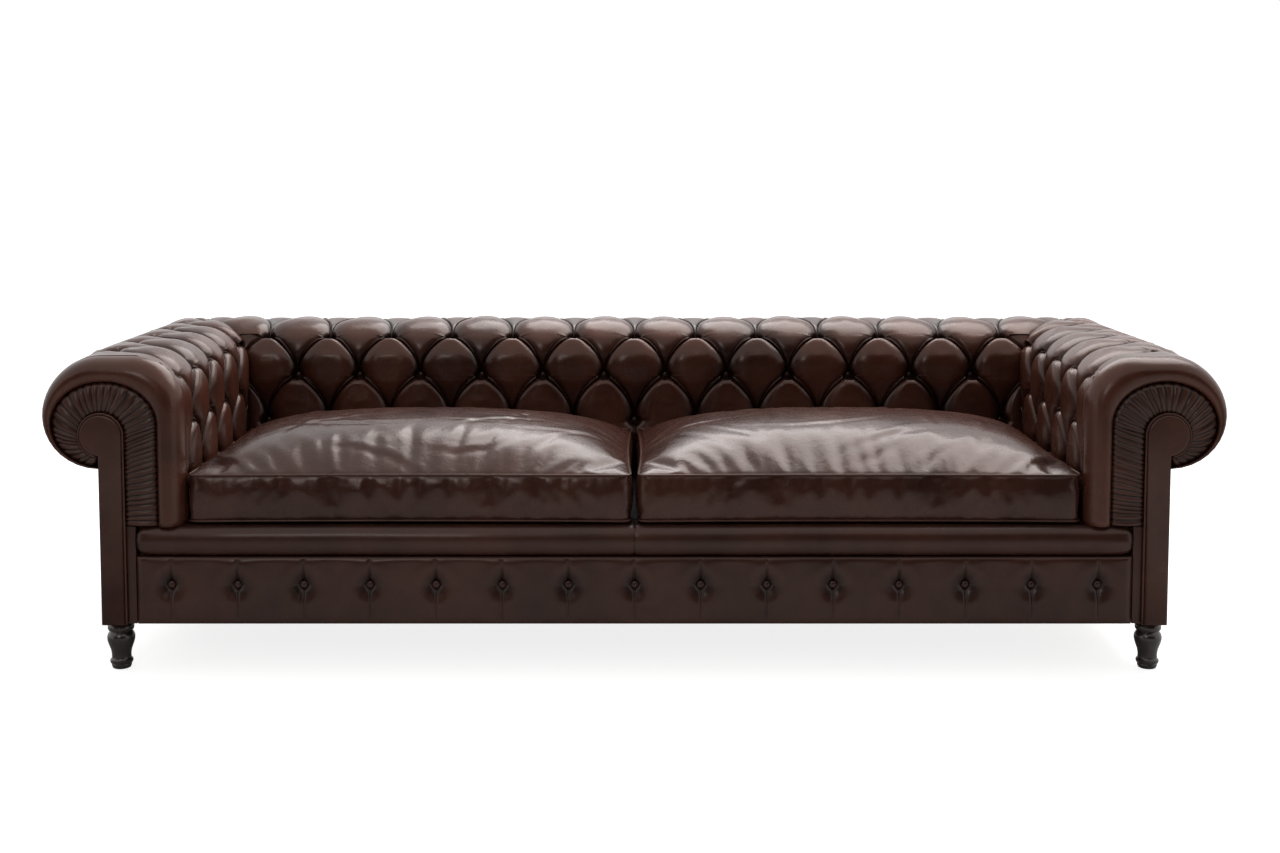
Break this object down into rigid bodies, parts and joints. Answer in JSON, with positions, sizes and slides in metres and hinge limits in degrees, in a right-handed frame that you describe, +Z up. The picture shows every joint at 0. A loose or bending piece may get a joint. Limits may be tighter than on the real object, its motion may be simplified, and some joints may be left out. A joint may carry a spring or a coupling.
{
  "type": "chesterfield sofa",
  "caption": "Chesterfield sofa: deep-tufted rolled arms and back of one height, pleated scroll facings, buttoned front rail, turned feet and loose piped seat cushions.",
  "frame": {"origin": "on the floor under the middle of the whole sofa", "axes": "+X along the seat, to the right as seen from the front; the front faces -Y; +Z is up"},
  "size_m": [2.623, 0.9797, 0.718],
  "materials": {
    "leather": "satin",
    "cushion_leather": "satin",
    "facing_leather": "satin",
    "panel_leather": "satin",
    "piping_leather": "satin",
    "button_leather": "satin",
    "turned_foot": "satin",
    "timber": "matte",
    "webbing": "matte",
    "deck_cloth": "matte",
    "dust_cloth": "matte",
    "steel": "satin"
  },
  "bodies": {
    "frame": {"front_feet": "turned_foot", "rear_feet": "turned_foot", "foot_bolts": "steel", "front_rail": "timber", "back_rail": "timber", "seat_stretchers": "timber", "foot_blocks": "timber", "rear_corner_posts": "timber", "back_top_rail": "timber", "back_tack_rail": "timber", "left_scroll_board": "timber", "right_scroll_board": "timber", "left_arm_formers": "timber", "right_arm_formers": "timber", "back_formers": "timber", "left_side_rail": "timber", "right_side_rail": "timber", "left_arm_top_rail": "timber", "right_arm_top_rail": "timber", "left_arm_tack_rail": "timber", "right_arm_tack_rail": "timber", "seat_webbing_long": "webbing", "seat_webbing_cross": "webbing", "left_outside_arm": "panel_leather", "right_outside_arm": "panel_leather", "outside_back": "panel_leather", "seat_deck": "deck_cloth", "dust_cover": "dust_cloth", "front_edge_roll": "panel_leather", "front_panel": "panel_leather", "front_panel_buttons": "button_leather", "left_arm_pad": "leather", "right_arm_pad": "leather", "back_pad": "leather", "left_arm_buttons": "button_leather", "right_arm_buttons": "button_leather", "back_buttons": "button_leather", "left_arm_collar": "leather", "right_arm_collar": "leather", "left_pleated_facing": "facing_leather", "right_pleated_facing": "facing_leather", "left_post_facing": "facing_leather", "right_post_facing": "facing_leather", "left_post_piping": "piping_leather", "right_post_piping": "piping_leather", "left_rail_end_strip": "panel_leather", "right_rail_end_strip": "panel_leather"},
    "left_cushion": {"left_seat_cushion": "cushion_leather", "left_cushion_piping": "piping_leather"},
    "right_cushion": {"right_seat_cushion": "cushion_leather", "right_cushion_piping": "piping_leather"}
  },
  "joints": [
    {"name": "left_cushion_lift", "type": "slide", "parent": "frame", "child": "left_cushion", "axis": [0, 0, 1], "range_m": [0, 0.45]},
    {"name": "right_cushion_lift", "type": "slide", "parent": "frame", "child": "right_cushion", "axis": [0, 0, 1], "range_m": [0, 0.45]}
  ]
}
